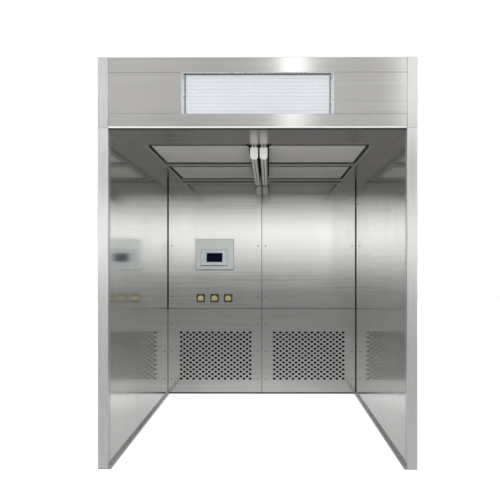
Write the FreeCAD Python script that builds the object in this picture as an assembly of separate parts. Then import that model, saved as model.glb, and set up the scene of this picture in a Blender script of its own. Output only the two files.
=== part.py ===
"""Negative pressure weighing booth: a stainless cabin, open at the front, whose rear casing draws air
in through two perforated grilles and returns it down through filters in the ceiling.

Millimetres. X to the right seen from the front, Y to the rear, Z up, origin on the floor under the
middle of the booth.
"""
import FreeCAD, Part

import math
import os

# Flats that stand for a circle on the pieces inside the casing
ROUND_SIDES = 12

# Overall
BOOTH_WIDTH = 1900.0
BOOTH_DEPTH = 2500.0
BOOTH_HEIGHT = 2450.0
WORK_DEPTH = 2000.0
HEADER_HEIGHT = 420.0

# Side walls
WALL_THICKNESS = 62.0
WALL_SHEET = 1.5
LINING_SHEET = 1.5
POST_DEPTH = 50.0
POST_SHEET = 2.0
POST_CORNER = 3.0
BASE_PLATE = 3.0
KERB_WIDTH = 16.0
KERB_HEIGHT = 25.0
KERB_CHAMFER = 6.0

# Folded sheet pans of the rear, the header and the roof
PAN_SHEET = 2.0
REAR_PAN_DEPTH = 30.0
REAR_SEAM = 2.0
ROOF_RECESS = 50.0
ROOF_PAN_DEPTH = 22.0
SIDE_FLANGE = 40.0

# Header front
TOP_RAIL = 90.0
BOTTOM_RAIL = 84.0
RAIL_DEPTH = 60.0
RAIL_SHEET = 2.0
RAIL_CORNER = 4.0
HEADER_PAN_DEPTH = 30.0
WINDOW_WIDTH = 904.0
WINDOW_RECESS = 24.0
WINDOW_BEVEL = 16.0
WINDOW_LIP = 2.0

# Exhaust filter and damper behind the window
EXHAUST_FILTER_DEPTH = 69.0
EXHAUST_FRAME_SIDE = 14.0
EXHAUST_FRAME_WALL = 6.0
PLEAT_PITCH = 21.4
PLEAT_DEPTH = 18.0
PLEAT_SHEET = 1.2
DAMPER_DEPTH = 240.0
DAMPER_SHEET = 2.0
DAMPER_EDGE_GAP = 6.0
DAMPER_SHAFT_RADIUS = 6.0
DAMPER_SHAFT_END = 8.0
LEVER_LENGTH = 70.0
LEVER_WIDTH = 16.0
SHAFT_CLEARANCE = 0.05

# Ceiling
CEILING_DROP = 12.0
CEILING_SHEET = 1.5
CEILING_FRONT_GAP = 10.0
CEILING_REAR_LAP = 25.0
SOFFIT_DEPTH = 412.0
TRIM_SIDE_WIDTH = 19.0
TRIM_CROSS_WIDTH = 90.0
TRIM_DROP = 14.0
FILM_WIDTH = 630.0
FILM_LENGTH = 584.0
FILM_SHEET = 1.0
FILM_RECESS = 4.0
FILM_SIDE_GAP = 22.0
FILM_END_GAP = 60.0
FILM_FRONT_GAP = 10.0
CENTRE_STRIP_HALF = 70.0
CENTRE_GAP = 14.0
FILM_FRAME_WALL = 10.0
SEAT_HEIGHT = 26.0
SEAT_SHEET = 2.0
SEAT_LEDGE = 30.0
SEAT_FOOT = 16.0
SUPPLY_FILTER_HEIGHT = 90.0
FILTER_CASE_WALL = 18.0

# Lamps
LAMP_LENGTH = 1227.0
LAMP_START = 440.0
LAMP_WIDTH = 52.0
LAMP_HEIGHT = 78.0
LAMP_PITCH = 64.0
LAMP_FOOT_WIDTH = 30.0
LAMP_CORNER = 20.0
LAMP_SHELL = 2.0
LAMP_CAP = 14.0

# Back wall
SEAM_HEIGHT = 805.0
BACK_SHEET = 1.5
BACK_PAN_DEPTH = 25.0
BACK_SEAM = 4.0
CORNER_GAP = 7.0
FLOOR_GAP = 14.0
FRAME_DEPTH = 30.0
FRAME_SIDE_BAR = 60.0
FRAME_CENTRE_BAR = 60.0
FRAME_CROSS_BAR = 60.0
GRILLE_EDGE_GAP = 3.0

# Perforation of the return grilles
HOLE_ROWS = 21
HOLE_COLUMNS = 12
HOLE_PITCH = 59.3
ROW_PITCH = 21.8
HOLE_WIDTH = 25.0
HOLE_HEIGHT = 19.0
FIRST_ROW_HEIGHT = 143.0
LEFT_HOLES_INWARD = 7.0

# Return filters
FILTER_MARGIN = 10.0
RACK_SHEET = 2.0
RACK_LIP = 12.0
RACK_FLANGE = 6.0
PREFILTER_DEPTH = 46.0
MEDIUM_FILTER_DEPTH = 92.0
FILTER_CLEARANCE = 0.5
RETURN_CASE_WALL = 22.0

# Fans
FAN_SHELF_HEIGHT = 1050.0
FAN_SHELF_SHEET = 3.0
FAN_OFFSET = 440.0
WHEEL_RADIUS = 160.0
WHEEL_EYE_RADIUS = 112.0
WHEEL_HEIGHT = 125.0
WHEEL_SHEET = 3.0
WHEEL_COLLAR = 20.0
WHEEL_GAP = 4.0
BLADE_COUNT = 7
BLADE_INNER_RADIUS = 88.0
BLADE_SHEET = 3.0
BLADE_SWEEP = 40.0
BLADE_END_GAP = 4.0
HUB_RADIUS = 24.0
HUB_HEIGHT = 34.0
FAN_SHAFT_RADIUS = 10.0
FAN_SHAFT_REACH = 34.0
FAN_SHAFT_END_GAP = 2.0
BRIDGE_GAP = 14.0
BRIDGE_SHEET = 4.0
BRIDGE_WIDTH = 150.0
BRIDGE_LEG_GAP = 22.0
BRIDGE_HOLE_RADIUS = 16.0
MOTOR_WIDTH = 130.0
MOTOR_HEIGHT = 110.0
MOTOR_CHAMFER = 28.0

# Control panel
CONTROL_X = -445.0
CONTROL_Z = 1319.0
CONTROL_WIDTH = 362.0
CONTROL_HEIGHT = 291.0
CONTROL_THICKNESS = 9.0
CONTROL_CHAMFER = 2.0
HMI_X = -451.0
HMI_Z = 1291.0
HMI_WIDTH = 250.0
HMI_HEIGHT = 151.0
HMI_THICKNESS = 8.0
HMI_BODY_MARGIN = 14.0
HMI_BODY_DEPTH = 42.0
HMI_CHAMFER = 3.0
CUTOUT_CLEARANCE = 1.0
SCREEN_WIDTH = 148.0
SCREEN_HEIGHT = 84.0
SCREEN_SHIFT_X = 5.0
SCREEN_SHIFT_Z = -3.0
SCREEN_THICKNESS = 2.0
SCREEN_RECESS = 1.0

# Wall sockets with spring lids
SOCKET_COUNT = 3
SOCKET_PITCH = 130.0
SOCKET_CENTRE_X = -447.0
SOCKET_Z = 904.0
SOCKET_PLATE = 78.0
SOCKET_THICKNESS = 9.0
SOCKET_BOX = 60.0
SOCKET_BOX_DEPTH = 40.0
SOCKET_CHAMFER = 3.0
LID_WIDTH = 52.0
LID_HEIGHT = 43.0
LID_THICKNESS = 5.0
LID_PROUD = 1.0
LID_CLEARANCE = 1.0
POCKET_DEPTH = 6.5
KNUCKLE_SIZE = 6.0
KNUCKLE_LENGTH = 30.0
KNUCKLE_GAP = 0.3
HINGE_PIN_RADIUS = 1.5
HINGE_CLEARANCE = 0.05

# Cable gland in the roof
GLAND_SIDE_INSET = 250.0
GLAND_REAR_INSET = 120.0
GLAND_BORE_RADIUS = 10.0
GLAND_NECK_RADIUS = 13.0
GLAND_FLATS = 34.0
GLAND_HEAD = 20.0
GLAND_NECK_REACH = 30.0
GLAND_CLEARANCE = 0.25

# Places worked out from the values above
HALF_WIDTH = BOOTH_WIDTH / 2
INNER_X = HALF_WIDTH - WALL_THICKNESS
FRONT_Y = -BOOTH_DEPTH / 2
REAR_Y = BOOTH_DEPTH / 2
BACK_Y = FRONT_Y + WORK_DEPTH
CASING_Y = REAR_Y - REAR_PAN_DEPTH
HEADER_Z = BOOTH_HEIGHT - HEADER_HEIGHT
RAIL_Y = FRONT_Y + RAIL_DEPTH
WINDOW_BOTTOM = HEADER_Z + BOTTOM_RAIL
WINDOW_TOP = BOOTH_HEIGHT - TOP_RAIL
WINDOW_HALF = WINDOW_WIDTH / 2
EXHAUST_Y = FRONT_Y + WINDOW_RECESS
DAMPER_Y = EXHAUST_Y + EXHAUST_FILTER_DEPTH
CEILING_Z = HEADER_Z - CEILING_DROP
TRIM_Z = CEILING_Z - TRIM_DROP
SEAT_Z = CEILING_Z + CEILING_SHEET
SEAT_TOP = SEAT_Z + SEAT_HEIGHT
FILM_INNER_X = CENTRE_STRIP_HALF + CENTRE_GAP
FILM_OUTER_X = FILM_INNER_X + FILM_WIDTH
CUT_OUTER_X = FILM_OUTER_X + FILM_SIDE_GAP
CUT_FRONT_Y = FRONT_Y + SOFFIT_DEPTH
FILM_STARTS = (
    CUT_FRONT_Y + FILM_FRONT_GAP,
    CUT_FRONT_Y + FILM_FRONT_GAP + FILM_LENGTH + 2 * FILM_END_GAP + TRIM_CROSS_WIDTH,
)
FRAME_Y = BACK_Y + BACK_PAN_DEPTH
RACK_Y = FRAME_Y + FRAME_DEPTH
CASE_INNER_X = FRAME_CENTRE_BAR / 2 + FILTER_MARGIN
CASE_OUTER_X = INNER_X - FRAME_SIDE_BAR - FILTER_MARGIN
CASE_BOTTOM = BASE_PLATE + FRAME_CROSS_BAR + FILTER_MARGIN
CASE_TOP = SEAM_HEIGHT - FRAME_CROSS_BAR / 2 - FILTER_MARGIN
FAN_Y = (RACK_Y + CASING_Y) / 2
WHEEL_Z = FAN_SHELF_HEIGHT + FAN_SHELF_SHEET + WHEEL_GAP
BRIDGE_Z = WHEEL_Z + WHEEL_HEIGHT + BRIDGE_GAP
MOTOR_Z = BRIDGE_Z + BRIDGE_SHEET
ROOF_Z = BOOTH_HEIGHT - ROOF_RECESS
SIDES = (("left", -1), ("right", 1))


def vector(x, y, z):
    return FreeCAD.Vector(x, y, z)


def box(x0, x1, y0, y1, z0, z1):
    """A block between two corners given in any order."""
    x0, x1 = sorted((x0, x1))
    y0, y1 = sorted((y0, y1))
    z0, z1 = sorted((z0, z1))
    return Part.makeBox(x1 - x0, y1 - y0, z1 - z0, vector(x0, y0, z0))


def profile_face(points):
    """A flat face inside a closed row of points."""
    return Part.Face(Part.makePolygon(points + [points[0]]))


def along_y(outline, y0, y1):
    """An (x, z) outline drawn out from y0 to y1."""
    face = profile_face([vector(x, y0, z) for x, z in outline])
    return face.extrude(vector(0, y1 - y0, 0))


def along_x(outline, x0, x1):
    """A (y, z) outline drawn out from x0 to x1."""
    face = profile_face([vector(x0, y, z) for y, z in outline])
    return face.extrude(vector(x1 - x0, 0, 0))


def along_z(outline, z0, z1):
    """An (x, y) outline drawn out from z0 to z1."""
    face = profile_face([vector(x, y, z0) for x, y in outline])
    return face.extrude(vector(0, 0, z1 - z0))


def prism(radius, sides, x, y, z0, z1):
    """An upright prism with a regular base whose corners lie on a circle around (x, y)."""
    step = 2 * math.pi / sides
    corners = [step * (index + 0.5) for index in range(sides)]
    return along_z([(x + radius * math.cos(a), y + radius * math.sin(a)) for a in corners], z0, z1)


def fused(*shapes):
    """One solid from shapes that touch or overlap."""
    return shapes[0].fuse(list(shapes[1:])).removeSplitter()


def round_edges(shape, radius, chosen):
    """Rounds the edges for which chosen(edge) is true."""
    return shape.makeFillet(radius, [edge for edge in shape.Edges if chosen(edge)])


def bevel_edges(shape, size, chosen):
    """Chamfers the edges for which chosen(edge) is true."""
    return shape.makeChamfer(size, [edge for edge in shape.Edges if chosen(edge)])


def edge_box(edge):
    return edge.BoundBox


def pan(x0, x1, y0, y1, z0, z1, sheet, opening):
    """A folded tray with four returned edges, open toward one of +x, -x, +y, -y, +z, -z."""
    x0, x1 = sorted((x0, x1))
    cavity = [x0 + sheet, x1 - sheet, y0 + sheet, y1 - sheet, z0 + sheet, z1 - sheet]
    axis = "xyz".index(opening[1])
    if opening[0] == "+":
        cavity[2 * axis + 1] += 2 * sheet
    else:
        cavity[2 * axis] -= 2 * sheet
    return box(x0, x1, y0, y1, z0, z1).cut(box(*cavity))


def frame_ring(x0, x1, y0, y1, z0, z1, wall_x, wall_y, wall_z):
    """A block with an inner block removed; a wall of None leaves that direction open right through."""
    x0, x1 = sorted((x0, x1))
    reach = 1.0
    limits = []
    for low, high, wall in ((x0, x1, wall_x), (y0, y1, wall_y), (z0, z1, wall_z)):
        if wall is None:
            limits += [low - reach, high + reach]
        else:
            limits += [low + wall, high - wall]
    return box(x0, x1, y0, y1, z0, z1).cut(box(*limits))


def ring_bars(x0, x1, y0, y1, z0, z1, wall_side, wall_end, across):
    """Four bars around a rectangle: across is the axis, y or z, that the opening is looked along."""
    x0, x1 = sorted((x0, x1))
    if across == "z":
        ends = ((x0 + wall_side, x1 - wall_side, y0, y0 + wall_end, z0, z1),
                (x0 + wall_side, x1 - wall_side, y1 - wall_end, y1, z0, z1))
    else:
        ends = ((x0 + wall_side, x1 - wall_side, y0, y1, z0, z0 + wall_end),
                (x0 + wall_side, x1 - wall_side, y0, y1, z1 - wall_end, z1))
    return [
        box(x0, x0 + wall_side, y0, y1, z0, z1), box(x1 - wall_side, x1, y0, y1, z0, z1),
        box(*ends[0]), box(*ends[1]),
    ]


def export(name, shape):
    os.makedirs("parts", exist_ok=True)
    shape.exportStep("parts/" + name + ".step")


def group(shapes):
    return Part.makeCompound(shapes)


# Side walls

def wall_panel(side):
    """Outer sheet of the sandwich wall, a pan folded in around the core, behind the front post."""
    return pan(
        side * (INNER_X + LINING_SHEET), side * HALF_WIDTH,
        FRONT_Y + POST_DEPTH, CASING_Y, BASE_PLATE, HEADER_Z,
        WALL_SHEET, "-x" if side > 0 else "+x",
    )


def wall_core(side):
    """Honeycomb core that fills the outer sheet up to the lining."""
    return box(
        side * (INNER_X + LINING_SHEET), side * (HALF_WIDTH - WALL_SHEET),
        FRONT_Y + POST_DEPTH + WALL_SHEET, CASING_Y - WALL_SHEET,
        BASE_PLATE + WALL_SHEET, HEADER_Z - WALL_SHEET,
    )


def wall_lining(side):
    """Inner stainless sheet of the side wall."""
    return box(
        side * INNER_X, side * (INNER_X + LINING_SHEET),
        FRONT_Y + POST_DEPTH, CASING_Y, BASE_PLATE, HEADER_Z,
    )


def front_post(side):
    """Rectangular tube that closes the front edge of the wall."""
    tube = box(side * INNER_X, side * HALF_WIDTH, FRONT_Y, FRONT_Y + POST_DEPTH, BASE_PLATE, HEADER_Z)

    def is_front_corner(edge):
        return edge_box(edge).ZLength > 1 and edge_box(edge).YMax < FRONT_Y + 1

    tube = round_edges(tube, POST_CORNER, is_front_corner)
    return tube.cut(box(
        side * (INNER_X + POST_SHEET), side * (HALF_WIDTH - POST_SHEET),
        FRONT_Y + POST_SHEET, FRONT_Y + POST_DEPTH - POST_SHEET, 0, BOOTH_HEIGHT,
    ))


def base_channel(side):
    """Floor plate under the wall, with a chamfered kerb along the work zone."""
    plate = box(side * INNER_X, side * HALF_WIDTH, FRONT_Y, REAR_Y, 0, BASE_PLATE)
    outline = [
        (side * INNER_X, 0),
        (side * (INNER_X - KERB_WIDTH), 0),
        (side * (INNER_X - KERB_WIDTH), KERB_HEIGHT - KERB_CHAMFER),
        (side * (INNER_X - KERB_WIDTH + KERB_CHAMFER), KERB_HEIGHT),
        (side * INNER_X, KERB_HEIGHT),
    ]
    return fused(plate, along_y(outline, FRONT_Y, BACK_Y))


# Rear casing

def casing_floor():
    """Plate under the frame, the filters and the fans, between the two base channels."""
    return box(-INNER_X, INNER_X, FRAME_Y, REAR_Y, 0, BASE_PLATE)


def rear_panel(side):
    """Lift-off service panel, a folded pan that covers half of the back."""
    return pan(
        side * REAR_SEAM / 2, side * HALF_WIDTH, CASING_Y, REAR_Y, BASE_PLATE, HEADER_Z,
        PAN_SHEET, "-y",
    )


def header_rear_panel():
    return pan(-HALF_WIDTH, HALF_WIDTH, CASING_Y, REAR_Y, HEADER_Z, BOOTH_HEIGHT, PAN_SHEET, "-y")


# Back wall of the work zone

def back_wall_frame():
    """Bars behind the panels: three posts and six cross bars, around four openings."""
    half = FRAME_CENTRE_BAR / 2
    opening_edge = INNER_X - FRAME_SIDE_BAR
    bars = [box(-half, half, FRAME_Y, RACK_Y, BASE_PLATE, CEILING_Z)]
    cross_bars = (
        (BASE_PLATE, BASE_PLATE + FRAME_CROSS_BAR),
        (SEAM_HEIGHT - FRAME_CROSS_BAR / 2, SEAM_HEIGHT + FRAME_CROSS_BAR / 2),
        (CEILING_Z - FRAME_CROSS_BAR, CEILING_Z),
    )
    for _, side in SIDES:
        bars.append(box(side * opening_edge, side * INNER_X, FRAME_Y, RACK_Y, BASE_PLATE, CEILING_Z))
        for low, high in cross_bars:
            bars.append(box(side * half, side * opening_edge, FRAME_Y, RACK_Y, low, high))
    return group(bars)


def socket_centres():
    first = SOCKET_CENTRE_X - SOCKET_PITCH * (SOCKET_COUNT - 1) / 2
    return [first + SOCKET_PITCH * index for index in range(SOCKET_COUNT)]


def hmi_body(clearance):
    """The part of the display housing that stands behind the wall, grown by a clearance."""
    half_width = HMI_WIDTH / 2 - HMI_BODY_MARGIN + clearance
    half_height = HMI_HEIGHT / 2 - HMI_BODY_MARGIN + clearance
    return box(
        HMI_X - half_width, HMI_X + half_width,
        BACK_Y - CONTROL_THICKNESS, BACK_Y + HMI_BODY_DEPTH,
        HMI_Z - half_height, HMI_Z + half_height,
    )


def back_panel(side):
    """Upper half of the back wall, a folded pan; the left one has the display and socket cut-outs."""
    panel = pan(
        side * BACK_SEAM / 2, side * (INNER_X - CORNER_GAP), BACK_Y, FRAME_Y,
        SEAM_HEIGHT + BACK_SEAM / 2, CEILING_Z, BACK_SHEET, "+y",
    )
    if side < 0:
        panel = panel.cut(hmi_body(CUTOUT_CLEARANCE))
        half = SOCKET_BOX / 2 + CUTOUT_CLEARANCE
        for x in socket_centres():
            panel = panel.cut(box(x - half, x + half, BACK_Y - 1, FRAME_Y, SOCKET_Z - half, SOCKET_Z + half))
    return panel


def hole_centres(side):
    """Staggered rows: a full row of holes, then one that has a hole less, half a pitch across."""
    inner = BACK_SEAM / 2
    middle = side * (inner + INNER_X - GRILLE_EDGE_GAP) / 2
    if side < 0:
        middle += LEFT_HOLES_INWARD
    centres = []
    for row in range(HOLE_ROWS):
        count = HOLE_COLUMNS - row % 2
        first = middle - HOLE_PITCH * (count - 1) / 2
        for column in range(count):
            centres.append((first + HOLE_PITCH * column, FIRST_ROW_HEIGHT + ROW_PITCH * row))
    return centres


def return_grille(side):
    """Perforated lower half of the back wall; its folded edges reach back to the frame."""
    x0, x1 = sorted((side * BACK_SEAM / 2, side * (INNER_X - GRILLE_EDGE_GAP)))
    z0, z1 = FLOOR_GAP, SEAM_HEIGHT - BACK_SEAM / 2
    outline = Part.makePolygon([
        vector(x1, BACK_Y, z0), vector(x0, BACK_Y, z0), vector(x0, BACK_Y, z1),
        vector(x1, BACK_Y, z1), vector(x1, BACK_Y, z0),
    ])
    wires = [outline]
    for x, z in hole_centres(side):
        wires.append(Part.makePolygon([
            vector(x - HOLE_WIDTH / 2, BACK_Y, z), vector(x, BACK_Y, z - HOLE_HEIGHT / 2),
            vector(x + HOLE_WIDTH / 2, BACK_Y, z), vector(x, BACK_Y, z + HOLE_HEIGHT / 2),
            vector(x - HOLE_WIDTH / 2, BACK_Y, z),
        ]))
    plate = Part.Face(wires).extrude(vector(0, BACK_SHEET, 0))
    edges = frame_ring(x0, x1, BACK_Y + BACK_SHEET, FRAME_Y, z0, z1, BACK_SHEET, None, BACK_SHEET)
    return fused(plate, edges)


# Return filters

def return_filter_rack():
    """Z-shaped strips behind the frame, four around each filter opening, with lips that stop the filters."""
    depth = PREFILTER_DEPTH + MEDIUM_FILTER_DEPTH + FILTER_CLEARANCE
    y0, y1 = RACK_Y, RACK_Y + depth + RACK_SHEET
    flange = FILTER_MARGIN + RACK_FLANGE

    def strip(inner, outward):
        """Points across one strip: the face toward the filter lies at inner."""
        return [
            (inner, y0), (inner + outward * flange, y0), (inner + outward * flange, y0 + RACK_SHEET),
            (inner + outward * RACK_SHEET, y0 + RACK_SHEET), (inner + outward * RACK_SHEET, y1),
            (inner - outward * RACK_LIP, y1), (inner - outward * RACK_LIP, y1 - RACK_SHEET),
            (inner, y1 - RACK_SHEET),
        ]

    strips = []
    for _, side in SIDES:
        for edge, outward in ((CASE_INNER_X, -side), (CASE_OUTER_X, side)):
            strips.append(along_z(strip(side * edge, outward), CASE_BOTTOM, CASE_TOP))
        for edge, outward in ((CASE_BOTTOM, -1), (CASE_TOP, 1)):
            outline = [(y, z) for z, y in strip(edge, outward)]
            strips.append(along_x(
                outline, side * (CASE_INNER_X + RACK_LIP), side * (CASE_OUTER_X - RACK_LIP),
            ))
    return group(strips)


def return_filter(side, start, depth):
    """Card-framed cassette with its pad set back from both faces."""
    x0, x1 = side * (CASE_INNER_X + FILTER_CLEARANCE), side * (CASE_OUTER_X - FILTER_CLEARANCE)
    z0, z1 = CASE_BOTTOM, CASE_TOP - FILTER_CLEARANCE
    case = frame_ring(x0, x1, start, start + depth, z0, z1, RETURN_CASE_WALL, None, RETURN_CASE_WALL)
    inset = side * RETURN_CASE_WALL
    pad = box(
        x0 + inset, x1 - inset, start + depth / 4, start + 3 * depth / 4,
        z0 + RETURN_CASE_WALL, z1 - RETURN_CASE_WALL,
    )
    return fused(case, pad)


# Fans

def fan_shelf():
    """Partition between suction and pressure chambers, with an inlet and a motor bridge for each fan."""
    top = FAN_SHELF_HEIGHT + FAN_SHELF_SHEET
    plate = box(-INNER_X, INNER_X, RACK_Y, CASING_Y, FAN_SHELF_HEIGHT, top)
    reach = WHEEL_RADIUS + BRIDGE_LEG_GAP
    y0, y1 = FAN_Y - BRIDGE_WIDTH / 2, FAN_Y + BRIDGE_WIDTH / 2
    bridges = []
    for _, side in SIDES:
        centre = side * FAN_OFFSET
        plate = plate.cut(prism(
            WHEEL_EYE_RADIUS, ROUND_SIDES, centre, FAN_Y, FAN_SHELF_HEIGHT - 1, top + 1,
        ))
        for leg in (-1, 1):
            bridges.append(box(
                centre + leg * reach, centre + leg * (reach + BRIDGE_SHEET), y0, y1, top, BRIDGE_Z,
            ))
        deck = box(centre - reach - BRIDGE_SHEET, centre + reach + BRIDGE_SHEET, y0, y1, BRIDGE_Z, MOTOR_Z)
        bridges.append(deck.cut(prism(
            BRIDGE_HOLE_RADIUS, ROUND_SIDES, centre, FAN_Y, BRIDGE_Z - 1, MOTOR_Z + 1,
        )))
    return group([plate] + bridges)


def fan_motor(side):
    """Square-bodied motor on the bridge, bored for the shaft of the wheel below it."""
    half = MOTOR_WIDTH / 2
    centre = side * FAN_OFFSET
    body = box(centre - half, centre + half, FAN_Y - half, FAN_Y + half, MOTOR_Z, MOTOR_Z + MOTOR_HEIGHT)
    body = bevel_edges(body, MOTOR_CHAMFER, lambda edge: edge_box(edge).ZLength > 1)
    return body.cut(Part.makeCylinder(
        FAN_SHAFT_RADIUS + SHAFT_CLEARANCE, FAN_SHAFT_REACH + 1,
        vector(centre, FAN_Y, MOTOR_Z - 1),
    ))


def wheel_disc(radius, z0, z1):
    return prism(radius, ROUND_SIDES, 0, 0, z0, z1)


def wheel_blade(z0, z1):
    """One flat blade that leans back from the eye to just inside the rim."""
    flat_radius = WHEEL_RADIUS * math.cos(math.pi / ROUND_SIDES) - BLADE_END_GAP
    sweep = math.radians(BLADE_SWEEP)
    near = vector(BLADE_INNER_RADIUS, 0, z0)
    far = vector(flat_radius * math.cos(sweep), -flat_radius * math.sin(sweep), z0)
    across = (far - near).cross(vector(0, 0, 1)).normalize() * (BLADE_SHEET / 2)
    face = profile_face([near + across, far + across, far - across, near - across])
    return face.extrude(vector(0, 0, z1 - z0))


def fan_wheel(side):
    """Backward-inclined wheel: inlet collar, shroud, blades, hub disc and the shaft into the motor."""
    top = WHEEL_Z + WHEEL_HEIGHT
    shroud_z = WHEEL_Z + WHEEL_COLLAR
    wall = WHEEL_SHEET
    collar = wheel_disc(WHEEL_EYE_RADIUS, WHEEL_Z, shroud_z + wall)
    shroud = wheel_disc(WHEEL_RADIUS, shroud_z, shroud_z + wall)
    inlet = wheel_disc(WHEEL_EYE_RADIUS - wall, WHEEL_Z - 1, shroud_z + wall + 1)
    wheel = collar.fuse(shroud).cut(inlet)
    blade = wheel_blade(shroud_z + wall / 2, top - wall / 2)
    for index in range(BLADE_COUNT):
        turned = blade.copy()
        turned.rotate(vector(0, 0, 0), vector(0, 0, 1), 360.0 * index / BLADE_COUNT)
        wheel = wheel.fuse(turned)
    wheel = wheel.fuse(wheel_disc(WHEEL_RADIUS, top - wall, top))
    wheel = wheel.fuse(wheel_disc(HUB_RADIUS, top - wall - HUB_HEIGHT, top - wall))
    shaft_top = MOTOR_Z + FAN_SHAFT_REACH - FAN_SHAFT_END_GAP
    wheel = wheel.fuse(Part.makeCylinder(FAN_SHAFT_RADIUS, shaft_top - top + wall, vector(0, 0, top - wall)))
    wheel = wheel.removeSplitter()
    wheel.translate(vector(side * FAN_OFFSET, FAN_Y, 0))
    return wheel


# Header

def rail(z0, z1):
    """Folded channel across the header front, open to the rear."""
    bar = box(-INNER_X, INNER_X, FRONT_Y, RAIL_Y, z0, z1)
    return bar.cut(box(
        -INNER_X - 1, INNER_X + 1, FRONT_Y + RAIL_SHEET, RAIL_Y + 1, z0 + RAIL_SHEET, z1 - RAIL_SHEET,
    ))


def header_bottom_rail():
    """Lower rail, with its front lower edge rounded into the lip that catches the light."""
    def is_lip(edge):
        place = edge_box(edge)
        return place.XLength > 1 and place.YMax < FRONT_Y + 1e-3 and place.ZMax < HEADER_Z + 1e-3

    return round_edges(rail(HEADER_Z, WINDOW_BOTTOM), RAIL_CORNER, is_lip)


def header_top_rail():
    return rail(WINDOW_TOP, BOOTH_HEIGHT)


def header_post(side):
    """Corner tube of the header, standing on the wall post."""
    tube = box(side * INNER_X, side * HALF_WIDTH, FRONT_Y, RAIL_Y, HEADER_Z, BOOTH_HEIGHT)

    def is_front_corner(edge):
        return edge_box(edge).ZLength > 1 and edge_box(edge).YMax < FRONT_Y + 1

    tube = round_edges(tube, POST_CORNER, is_front_corner)
    return tube.cut(box(
        side * (INNER_X + POST_SHEET), side * (HALF_WIDTH - POST_SHEET),
        FRONT_Y + POST_SHEET, RAIL_Y - POST_SHEET, 0, BOOTH_HEIGHT + 1,
    ))


def header_panel(side):
    """Blank panel beside the exhaust window."""
    return pan(
        side * WINDOW_HALF, side * INNER_X, FRONT_Y, FRONT_Y + HEADER_PAN_DEPTH,
        WINDOW_BOTTOM, WINDOW_TOP, PAN_SHEET, "+y",
    )


def exhaust_window_frame():
    """Picture frame in front of the exhaust filter: splayed sides, thin top and bottom."""
    outline = [
        (-WINDOW_HALF, FRONT_Y), (-WINDOW_HALF + WINDOW_LIP, FRONT_Y),
        (-WINDOW_HALF + WINDOW_BEVEL + WINDOW_LIP, EXHAUST_Y), (-WINDOW_HALF, EXHAUST_Y),
    ]
    low, high = WINDOW_BOTTOM + WINDOW_LIP, WINDOW_TOP - WINDOW_LIP
    left = along_z(outline, low, high)
    right = along_z([(-x, y) for x, y in outline], low, high)
    top = box(-WINDOW_HALF, WINDOW_HALF, FRONT_Y, EXHAUST_Y, high, WINDOW_TOP)
    bottom = box(-WINDOW_HALF, WINDOW_HALF, FRONT_Y, EXHAUST_Y, WINDOW_BOTTOM, low)
    return group([left, right, top, bottom])


def exhaust_filter_frame():
    """Four bars around the exhaust filter's pack."""
    return group(ring_bars(
        -WINDOW_HALF, WINDOW_HALF, EXHAUST_Y, DAMPER_Y, WINDOW_BOTTOM, WINDOW_TOP,
        EXHAUST_FRAME_SIDE, EXHAUST_FRAME_WALL, "y",
    ))


def exhaust_filter_pleats():
    """Paper pack folded in horizontal pleats, drawn as one zigzag strip."""
    low = WINDOW_BOTTOM + EXHAUST_FRAME_WALL
    high = WINDOW_TOP - EXHAUST_FRAME_WALL
    count = round((high - low) / PLEAT_PITCH)
    pitch = (high - low) / count
    crest = EXHAUST_Y + PLEAT_SHEET
    front = []
    for index in range(count):
        front.append((crest + PLEAT_DEPTH, low + pitch * index))
        front.append((crest, low + pitch * (index + 0.5)))
    front.append((crest + PLEAT_DEPTH, high))
    back = [(y + PLEAT_SHEET, z) for y, z in reversed(front)]
    half = WINDOW_HALF - EXHAUST_FRAME_SIDE
    return along_x(front + back, -half, half)


def damper_axis():
    return DAMPER_Y + DAMPER_DEPTH / 2, (WINDOW_BOTTOM + WINDOW_TOP) / 2


def exhaust_damper_frame():
    """Short duct behind the exhaust filter, bored at both sides for the blade's shaft."""
    y, z = damper_axis()
    sheets = ring_bars(
        -WINDOW_HALF, WINDOW_HALF, DAMPER_Y, DAMPER_Y + DAMPER_DEPTH, WINDOW_BOTTOM, WINDOW_TOP,
        DAMPER_SHEET, DAMPER_SHEET, "y",
    )
    bore = Part.makeCylinder(
        DAMPER_SHAFT_RADIUS + SHAFT_CLEARANCE, BOOTH_WIDTH, vector(-HALF_WIDTH, y, z), vector(1, 0, 0),
    )
    return group([sheet.cut(bore) for sheet in sheets[:2]] + sheets[2:])


def exhaust_damper_blade():
    """Blade on its shaft, closed when upright, with the setting lever outside the duct."""
    y, z = damper_axis()
    half_width = WINDOW_HALF - DAMPER_SHEET - DAMPER_EDGE_GAP
    half_height = (WINDOW_TOP - WINDOW_BOTTOM) / 2 - DAMPER_SHEET - DAMPER_EDGE_GAP
    blade = box(
        -half_width, half_width, y - DAMPER_SHEET / 2, y + DAMPER_SHEET / 2,
        z - half_height, z + half_height,
    )
    shaft_half = WINDOW_HALF + DAMPER_SHAFT_END
    shaft = Part.makeCylinder(
        DAMPER_SHAFT_RADIUS, 2 * shaft_half, vector(-shaft_half, y, z), vector(1, 0, 0),
    )
    lever = box(
        shaft_half - DAMPER_SHEET, shaft_half, y - LEVER_WIDTH / 2, y + LEVER_WIDTH / 2,
        z - LEVER_WIDTH / 2, z + LEVER_LENGTH,
    )
    return fused(blade, shaft, lever)


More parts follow.
